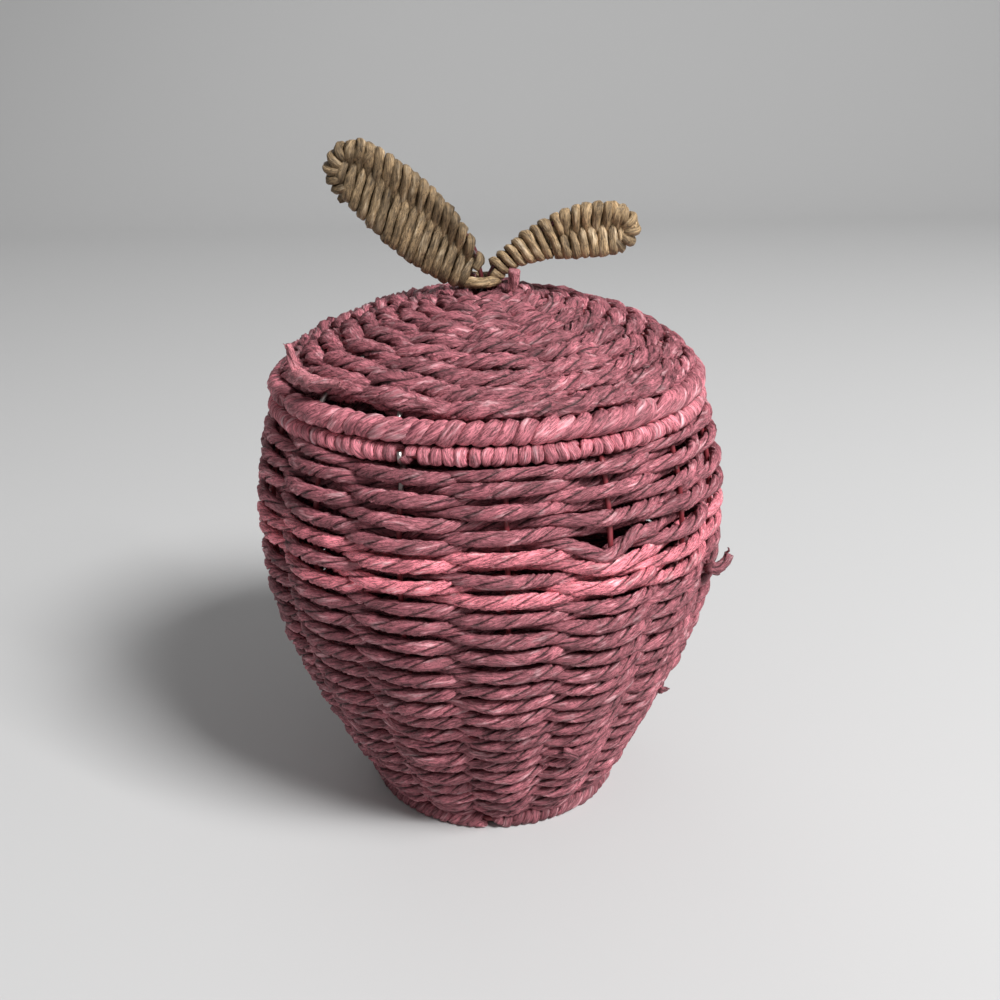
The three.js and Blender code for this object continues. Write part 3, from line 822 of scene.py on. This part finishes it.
def bound_ring(name, node, body, pitch, seed):
    """A strip of rope wound round a ring, pitch from turn to turn, and parted at one break."""
    strand, flatten, (angle, width), lean, proud, crumple = RINGS[node]
    ring, height, section = ring_of(node)
    rng = np.random.default_rng(seed)
    half = (width / 2 + 0.9 * strand) / ring
    start, end = angle + half, angle - half + 2 * math.pi
    turns = int((end - start) * ring / pitch)
    t = np.linspace(0, 1, turns * 18)
    loops = 2 * math.pi * turns * t
    uneven = wander(rng, t * turns, 1.0, 0.06 * pitch) / ring
    slant = lean * (1 + wander(rng, t * turns, 2.0, 0.2)) + wander(rng, t * turns, 1.1, 0.16 * pitch)
    along = start + (end - start) * t + uneven + slant * np.sin(loops) / ring
    reach = (section + proud - strand * flatten) * (1 + wander(rng, t * turns, 1.3, 0.04))
    path = around(along, ring + reach * np.cos(loops), height + reach * np.sin(loops))
    out = unit(path - around(along, ring, height))
    path[:, 2] = np.maximum(path[:, 2], strand * flatten)
    widths = strand * (1 + wander(rng, t * turns, 0.8, 0.08))
    squeezes = ((out, np.full(len(t), flatten)),)
    mesh = sweep(name, path, round_outline(12), widths, None, squeezes, crumple, seed)
    place(name, mesh, body, node, node)


class BASKET_OT_rings(bpy.types.Operator):
    """Binds the mouth ring, the foot ring and the lid's ring"""

    bl_idname = "basket.rings"
    bl_label = "Bind the rings"

    def execute(self, context):
        size = sizes()
        bound_ring("mouth_ring_turns", "rim_ring_binding", "basket", size["rim_turn"], 41)
        bound_ring("foot_ring_turns", "foot_ring_binding", "basket", size["foot_turn"], 42)
        bound_ring("lid_ring_turns", "lid_ring_binding", "lid", size["lid_turn"], 43)
        return {"FINISHED"}


MOUTH_BREAK = STAKE_ANGLE - 2 * math.pi / STAKES + math.radians(1.6)  # just right of the scraped wire
FOOT_BREAK = math.radians(-3)
LID_BREAK = math.radians(-62)
# Half width of the strip, its thickness as a share of that, angle and width of the break, slant of the
# turns, how far they stand out over the frame's own ring, and crumple
RINGS = {
    "rim_ring_binding": (1.95, 0.72, (MOUTH_BREAK, -0.8), -0.75, 0.1, 0.07),
    "foot_ring_binding": (1.95, 0.74, (FOOT_BREAK, 1.6), 0.5, 0.9, 0.09),
    "lid_ring_binding": (2.60, 0.72, (LID_BREAK, 2.0), 1.7, 0.5, 0.07),
}
LID_SWING = 2.1
LID_START = 2.2  # where the lid's weave starts, as a length from its crown
CROWN_REACH = 20.0  # up to here the weave swings less
LID_GAPS = ((-38, 17, 3.4), (30, 9, 1.6), (150, 30, 0.5))  # angles, widths and depths at its ring


def lid_gap(angle):
    """How far the lid's last rounds stand off its ring: wide at the front left, less at the right."""
    degrees = np.degrees(np.arctan2(np.sin(angle), np.cos(angle)))
    return sum(depth * np.exp(-(((degrees - at) / width) ** 2)) for at, width, depth in LID_GAPS)


class BASKET_OT_lid(bpy.types.Operator):
    """Weaves the lid's dome with two ropes"""

    bl_idname = "basket.lid"
    bl_label = "Weave the lid"

    def execute(self, context):
        size = sizes()
        row = size["lid_row"]
        outer = Profile(lid_profile())
        r, z = outer.at(np.linspace(2.0, outer.length, 500), -LID_MIDDLE)
        profile = Profile(np.stack([r, z], -1))
        last = float(np.interp(-high("lid_ring_binding") - 1.4, -profile.line[:, 1], profile.arc))
        turns = (last - LID_START) / (2 * row) + 1.0
        points = int(size["outline"])
        meshes = []
        for strand in range(2):

            def arc_of(turn, strand=strand):
                s = np.clip(LID_START + row * (2 * turn + strand), LID_START, last)
                gap = lid_gap(SPOKE_ANGLE + 2 * math.pi * turn)
                return s - gap * np.exp((s - last) / 9.0)

            ends = (0.0, turns - strand / 2)
            woven = woven_path(
                profile, LID_SPOKES, SPOKE_ANGLE, arc_of, ends, LID_SWING, 51 + strand, strand, CROWN_REACH
            )
            lay = size["lay"] * 1.1
            rope = rope_lengths(
                woven, size["lid_rope"], lay, 53 + strand, taper=0.25, depth=0.76, width=(0.84, 1.10)
            )
            seed = 55 + strand
            meshes.append(rope_mesh("lid_rope", rope, from_middle, slice(None), points, seed, 0.14, 0.44))
        place("lid_ropes", joined("lid_ropes", meshes), "lid", "rope_paper", "lid_weave")
        return {"FINISHED"}


class Leaf:
    """A bound leaf in an upright plane: its curved axis and its half width."""

    def __init__(self, foot, bend, tip, half_width, widest, fullness, legs):
        t = np.linspace(0, 1, 200)[:, None]
        a, b, c = (np.array(p, float) for p in (foot, bend, tip))
        line = (1 - t) ** 2 * a + 2 * t * (1 - t) * b + t**2 * c
        steps = np.concatenate([[0], np.cumsum(np.hypot(*np.diff(line, axis=0).T))])
        self.line = line
        self.share = steps / steps[-1]
        self.length = steps[-1]
        self.half_width = half_width
        self.power = math.log(0.5) / math.log(widest)
        self.fullness = fullness
        self.legs = legs
        self.turned = 1 if tip[0] > 0 else -1

    def half(self, s):
        """Half width at a share of the leaf's length."""
        wide = self.half_width * np.maximum(np.sin(math.pi * s**self.power), 0) ** self.fullness
        return np.where(s < 0.5, np.maximum(wide, 1.1), wide)

    def at(self, s, across, out):
        """Points in millimetres: s from foot to tip, across to the side and out to the front."""
        inside = np.clip(s, 0.002, 0.998)
        x, z = (np.interp(inside, self.share, self.line[:, k]) for k in (0, 1))
        x2, z2 = (np.interp(inside + 0.002, self.share, self.line[:, k]) for k in (0, 1))
        x1, z1 = (np.interp(inside - 0.002, self.share, self.line[:, k]) for k in (0, 1))
        long = np.hypot(x2 - x1, z2 - z1)
        ax, az = (x2 - x1) / long, (z2 - z1) / long
        past = (s - inside) * self.length
        return np.stack([x + ax * past + az * across, -out + 0 * x, z + az * past - ax * across], -1)


LEAVES = {
    "leaf_left": Leaf((-4.2, 197.0), (-26.4, 217.6), (-48.4, 234.4), 9.6, 0.52, 0.33, (-3.7, -1.5)),
    "leaf_right": Leaf((2.6, 196.6), (21, 211.7), (49.8, 209.9), 6.4, 0.76, 0.46, (3.7, 1.5)),
}
TIP_SHARE = {"leaf_left": 0.84, "leaf_right": 0.87}  # from here on the twine goes round the leaf's edge
TURN_PITCH = {"leaf_left": 1.10, "leaf_right": 1.04}  # from one turn to the next, in twine diameters
EIGHT_FROM = {"leaf_left": -0.1, "leaf_right": 0.46}  # below this share of the leaf turns are plain
CROSSING = {"leaf_left": 0.26, "leaf_right": -0.08}  # how far to one side the figures of eight cross
LEAF_LEAN = {"leaf_left": 0.42, "leaf_right": 0.0}  # slant of the turns towards the tip
LEAF_WIRE = 0.8  # radius
LEAF_OPENING = 0.34  # how far from the leaf's foot the loop starts and ends, in radians of its round
TWINE_END = 0.94  # share of the leaf at which the turns across it end
TWINE_STEP = 0.8  # between the points of the twine's path


class BASKET_OT_leaves(bpy.types.Operator):
    """Bends the leaf wires and winds the twine round them"""

    bl_idname = "basket.leaves"
    bl_label = "Bind the leaves"

    def execute(self, context):
        twine = sizes()["twine"]
        for index, (name, leaf) in enumerate(LEAVES.items()):
            self.wire(name, leaf)
            self.twine(name, leaf, twine, 61 + index)
        self.tie()
        return {"FINISHED"}

    def wire(self, name, leaf):
        """Bends the leaf's loop and its two legs, which go down through the lid."""
        node = name + "_wire"
        turn = np.linspace(LEAF_OPENING, 2 * math.pi - LEAF_OPENING, 90)
        s = (1 - np.cos(turn)) / 2
        across = np.where(turn < math.pi, leaf.half(s), -leaf.half(s)) * leaf.turned
        foot, rise = low(node), LID_TOP + 4.0
        first = [[leaf.legs[0], 0, foot], [leaf.legs[0], 0, rise]]
        last = [[leaf.legs[1], 0, rise], [leaf.legs[1], 0, foot]]
        path = np.concatenate([first, leaf.at(s, across, 0), last])
        mesh = sweep(name + "_frame", path, round_outline(8), LEAF_WIRE)
        place(name + "_frame", mesh, "lid", "leaf_wire", node)

    def twine(self, name, leaf, twine, seed):
        """Winds plain turns at the foot, figures of eight up to the tip, then turns round the tip's edge."""
        rng = np.random.default_rng(seed)
        turned = np.linspace(0, 2 * math.pi, 26, endpoint=False)
        pitch = twine * TURN_PITCH[name]
        chunks = []
        across_share = []
        s = 0.0
        while s < TWINE_END:
            here = s + pitch / leaf.length * turned / (2 * math.pi)
            edge = leaf.half(here)
            inside = 1.6 * smooth((s - TIP_SHARE[name]) / 0.05)
            reach = edge + LEAF_WIRE + twine * 0.40 - inside
            across = reach * np.sin(turned)
            across = across + CROSSING[name] * reach * np.cos(turned) ** 2
            eight = smooth((edge - 3.0) / 1.5) * smooth((s - EIGHT_FROM[name]) / 0.06)
            out = eight * 2.3 * np.sin(2 * turned) + (1 - eight) * 2.2 * np.cos(turned)
            lean = LEAF_LEAN[name] * across / leaf.length * smooth((edge - 2.0) / 4.0)
            here = here + lean + rng.normal(0, 0.0025)
            chunks.append(leaf.at(here, across * (1 + rng.normal(0, 0.02)), out))
            across_share.append(np.abs(np.sin(turned)))
            s += pitch / leaf.length * (1 + rng.normal(0, 0.05))
        path, where, share = evened(np.concatenate(chunks), TWINE_STEP, np.concatenate(across_share))
        widths = twine / 2 * (1 + wander(rng, where, 7.0, 0.10))
        front = (0.0, 1.0, 0.0)
        axis = unit(leaf.at(np.array([0.9]), 0, 0)[0] - leaf.at(np.array([0.3]), 0, 0)[0])
        squeezes = (
            (np.tile(front, (len(path), 1)), np.full(len(path), 0.80)),
            (np.tile(axis, (len(path), 1)), 0.84 + 0.34 * share),
            (np.tile(np.cross(axis, front), (len(path), 1)), 1 - 0.34 * share**2),
        )
        turns = sweep(name + "_middle", path, round_outline(12), widths, None, squeezes, 0.09, seed)
        tip = self.tip_turns(name, leaf, twine, pitch, rng)
        node = name + "_twine"
        place(name + "_turns", joined(name + "_turns", [turns, tip]), "lid", node, node)

    def tip_turns(self, name, leaf, twine, pitch, rng):
        """Turns of twine round the wire where it bends at the leaf's tip."""
        start = math.acos(1 - 2 * TIP_SHARE[name])
        bend = np.linspace(start, 2 * math.pi - start, 400)
        s = (1 - np.cos(bend)) / 2
        across = np.where(bend < math.pi, 1, -1) * leaf.half(s) * leaf.turned
        wire, where = evened(leaf.at(s, across, 0), 0.12)
        along = unit(np.gradient(wire, axis=0))
        outward = np.cross(along, (0.0, 1.0, 0.0)) * -leaf.turned
        turn = 2 * math.pi * where / (pitch * 0.92) + wander(rng, where, 4.0, 0.3)
        reach = LEAF_WIRE + twine * 0.36
        path = wire + outward * (reach * np.cos(turn))[:, None]
        path[:, 1] += reach * 1.05 * np.sin(turn)
        path, where = evened(path, TWINE_STEP)
        widths = twine / 2 * (1 + wander(rng, where, 6.0, 0.07))
        return sweep(name + "_tip", path, round_outline(12), widths, None, (), 0.09, 67)

    def tie(self):
        """Winds the short binding round the legs of both leaves."""
        turn = np.linspace(0, 2 * math.pi * 1.2, 80)
        rise = LID_TOP + 1.0 + 1.3 * turn / (2 * math.pi)
        path = np.stack([-1.4 - 5.0 * np.sin(turn), 3.6 * np.cos(turn), rise], -1)
        path, _ = evened(path, 0.9)
        mesh = sweep("leaf_tie_turns", path, round_outline(12), 1.9, crumple=0.09, seed=66)
        place("leaf_tie_turns", mesh, "lid", "leaf_tie", "leaf_tie")


END_LAY = 44.0  # length of one whole twist of a loose end


class BASKET_OT_ends(bpy.types.Operator):
    """Lays the loose ends of rope"""

    bl_idname = "basket.ends"
    bl_label = "Lay the loose ends"

    def execute(self, context):
        dome = Profile(lid_profile())

        def on_dome(angle, radius, height):
            """A point over the lid."""
            s = float(np.interp(radius, dome.line[:, 0], dome.arc))
            r, z = dome.at(np.array([s]), height)
            return around(math.radians(angle), r[0], z[0])

        def upward(foot, angle, lean, tail):
            """A line up from a foot."""
            rise = around(math.radians(angle), lean, tail)
            return [foot, foot + rise * 0.5, foot + rise]

        places = ((-58.5, 71.0, 1.8), (-52.5, 71.0, 2.6), (-46, 70.6, 2.5), (-39.5, 69.6, 1.4))
        fold = [on_dome(*at) for at in places]
        self.end("lid_loose_end", fold, 2.9, 1.0, "lid", "lid_rope_end", "mauve_paper", 71, 6)
        tail = upward(on_dome(-57.5, 70.4, 2.8), -58, 1.9, 9.4)
        self.end("lid_loose_tail", tail, 1.9, 0.8, "lid", None, "mauve_paper", 72, 2, 0.5)
        tuft = upward(on_dome(56, 10.8, -0.6), 56, 1.4, 7.6)
        self.end("crown_loose_end", tuft, 1.4, 2.1, "lid", "crown_rope_end", "mauve_paper", 73, 2, 0.4)
        stub = self.on_wall([(63.5, 100.6, -0.6), (67.2, 98.4, 2.4), (69.6, 102.0, 4.3)])
        self.end("belly_loose_end", stub, 2.1, 1.6, "basket", "belly_rope_end", "rope_paper", 74, 3, 0.5)
        bit = self.on_wall([(64.0, 98.8, -0.4), (66.2, 96.6, 1.4), (68.4, 94.6, 2.4)])
        self.end("belly_loose_bit", bit, 1.8, 0.4, "basket", None, "rope_paper", 75, 2, 0.5)
        spur = self.on_wall([(64.0, 46.5, -0.6), (67.0, 45.2, 0.8), (69.5, 43.6, 1.8)])
        self.end("side_loose_bit", spur, 1.3, 0.7, "basket", None, "rope_paper", 76, 2, 0.5)
        frayed = self.on_wall([(20.5, 43.9, -0.6), (22.5, 43.0, 1.2), (24.6, 40.2, 2.0)])
        self.end("foot_loose_bit", frayed, 1.7, 0.7, "basket", None, "rope_paper", 77, 5)
        return {"FINISHED"}

    def on_wall(self, places):
        """Points on the wall from angles in degrees, heights and distances off it."""
        return [around(math.radians(angle), float(body_radius(z)) + off, z) for angle, z, off in places]

    def end(self, name, knots, thick, thin, body, node, look, seed, frays, fray_share=1.0):
        """A loose end of rope on a smooth line near a few points, with frayed strands at its tip."""
        rng = np.random.default_rng(seed)
        knots = np.array(knots)
        t = np.linspace(0, 1, 24)
        spread = np.linspace(0, 1, len(knots))
        fits = [np.polyfit(spread, knots[:, k], 2) for k in range(3)]
        path = np.stack([np.polyval(fit, t) for fit in fits], -1)
        path, where = evened(path, TWINE_STEP)
        taper = np.linspace(thick, thin, len(path))
        lay = -2 * math.pi * where / END_LAY
        meshes = [sweep(name + "_cord", path, plied_outline(16, 0.35), taper, lay, (), 0.14, seed)]
        along = unit(path[-1] - path[-3])
        for _ in range(frays):
            aim = along + rng.normal(0, 0.38, 3)
            start = path[-2] + rng.normal(0, 0.45 * thin, 3)
            length = (1.6 + 1.5 * rng.random()) * (0.6 + 0.4 * thin) * fray_share
            reach = np.linspace(0, 1, 7)[:, None] * length
            strand = start + aim * reach + rng.normal(0, 0.16, (7, 3)) * reach
            width = np.linspace(0.42, 0.14, 7) * thin
            meshes.append(sweep(name + "_strand", strand, round_outline(6), width, None, (), 0.1, seed))
        place(name, joined(name, meshes), body, look, node)


# Camera: the photograph's view, in metres and degrees
CAMERA_BACK = 0.3744
CAMERA_HEIGHT = 0.2605
CAMERA_PITCH = 21.67
CAMERA_ROLL = -0.9975
CAMERA_YAW = -0.57
CAMERA_LENS = 38.88

LAMPS = {  # places in metres, widths and powers
    "key": ((1.26, -1.12, 1.84), 0.78, 84.0),
    "fill": ((-0.9, -0.6, 0.6), 0.9, 0.3),
    "back": ((-0.6, 1.7, 1.5), 1.4, 4.0),
}
WORLD_LIGHT = 0.23


class BASKET_OT_stage(bpy.types.Operator):
    """Sets the floor, the backdrop, the lights and the camera"""

    bl_idname = "basket.stage"
    bl_label = "Set the stage"

    def execute(self, context):
        scene = context.scene
        scene.view_settings.view_transform = "Standard"
        self.backdrop(scene.basket_colours.floor)
        for name, lamp in LAMPS.items():
            self.lamp(name, *lamp)
        world = bpy.data.worlds.new("studio")
        world.use_nodes = True
        background = world.node_tree.nodes["Background"].inputs
        background["Color"].default_value = (1, 1, 1, 1)
        background["Strength"].default_value = WORLD_LIGHT
        scene.world = world
        camera = bpy.data.cameras.new("camera")
        camera.lens = CAMERA_LENS
        camera.sensor_width = 36.0
        camera.clip_start = 0.01
        holder = add_object("camera", camera)
        turn = Matrix.Rotation(math.radians(CAMERA_YAW), 4, "Z")
        turn = turn @ Matrix.Rotation(math.radians(90 - CAMERA_PITCH), 4, "X")
        turn = turn @ Matrix.Rotation(math.radians(CAMERA_ROLL), 4, "Z")
        holder.matrix_world = Matrix.Translation((0, -CAMERA_BACK, CAMERA_HEIGHT)) @ turn
        scene.camera = holder
        return {"FINISHED"}

    def backdrop(self, colour):
        """A floor that turns up behind the basket in one sheet."""
        bm = bmesh.new()
        bend = np.linspace(0, math.pi / 2, 24)
        curve = [(1.6 + 0.8 * math.sin(a), 0.8 - 0.8 * math.cos(a)) for a in bend]
        line = [(-3.0, 0.0), *curve, (2.4, 3.0)]
        verts = [bm.verts.new((-4.0, y, z)) for y, z in line]
        edges = [bm.edges.new(pair) for pair in zip(verts, verts[1:])]
        grown = bmesh.ops.extrude_edge_only(bm, edges=edges)
        moved = [v for v in grown["geom"] if isinstance(v, bmesh.types.BMVert)]
        bmesh.ops.translate(bm, verts=moved, vec=(8.0, 0, 0))
        bmesh.ops.recalc_face_normals(bm, faces=bm.faces)
        mesh = bpy.data.meshes.new("floor")
        bm.to_mesh(mesh)
        bm.free()
        mesh.shade_smooth()
        mesh.materials.append(Nodes("floor").surface({"Base Color": colour, "Roughness": 0.9}))
        add_object("floor", mesh)

    def lamp(self, name, at, width, power):
        """A square lamp aimed at the basket's belly."""
        light = bpy.data.lights.new(name, "AREA")
        light.size = width
        light.energy = power
        aim = (Vector((0, 0, 0.1)) - Vector(at)).to_track_quat("-Z", "Y")
        add_object(name, light).matrix_world = Matrix.Translation(at) @ aim.to_matrix().to_4x4()


OPERATORS = (
    BASKET_OT_stage,
    BASKET_OT_wires,
    BASKET_OT_wall,
    BASKET_OT_bottom,
    BASKET_OT_rings,
    BASKET_OT_lid,
    BASKET_OT_leaves,
    BASKET_OT_ends,
)


class BASKET_PT_panel(bpy.types.Panel):
    """Lists the basket's sizes, colours and steps"""

    bl_idname = "BASKET_PT_panel"
    bl_label = "Woven basket"
    bl_space_type = "VIEW_3D"
    bl_region_type = "UI"
    bl_category = "Basket"

    def draw(self, context):
        for group in (context.scene.basket_sizes, context.scene.basket_colours):
            for key in group.__annotations__:
                self.layout.prop(group, key, text=key.replace("_", " ").capitalize())
        for step in OPERATORS:
            self.layout.operator(step.bl_idname)


CLASSES = (BasketSizes, BasketColours, *OPERATORS, BASKET_PT_panel)


def register():
    for item in CLASSES:
        bpy.utils.register_class(item)
    bpy.types.Scene.basket_sizes = PointerProperty(type=BasketSizes)
    bpy.types.Scene.basket_colours = PointerProperty(type=BasketColours)


def unregister():
    del bpy.types.Scene.basket_colours
    del bpy.types.Scene.basket_sizes
    for item in reversed(CLASSES):
        bpy.utils.unregister_class(item)


def main():
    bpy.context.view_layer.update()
    register()
    bpy.ops.basket.stage()
    bpy.ops.basket.wires()
    bpy.ops.basket.wall()
    bpy.ops.basket.bottom()
    bpy.ops.basket.rings()
    bpy.ops.basket.lid()
    bpy.ops.basket.leaves()
    bpy.ops.basket.ends()


if __name__ == "__main__":
    main()
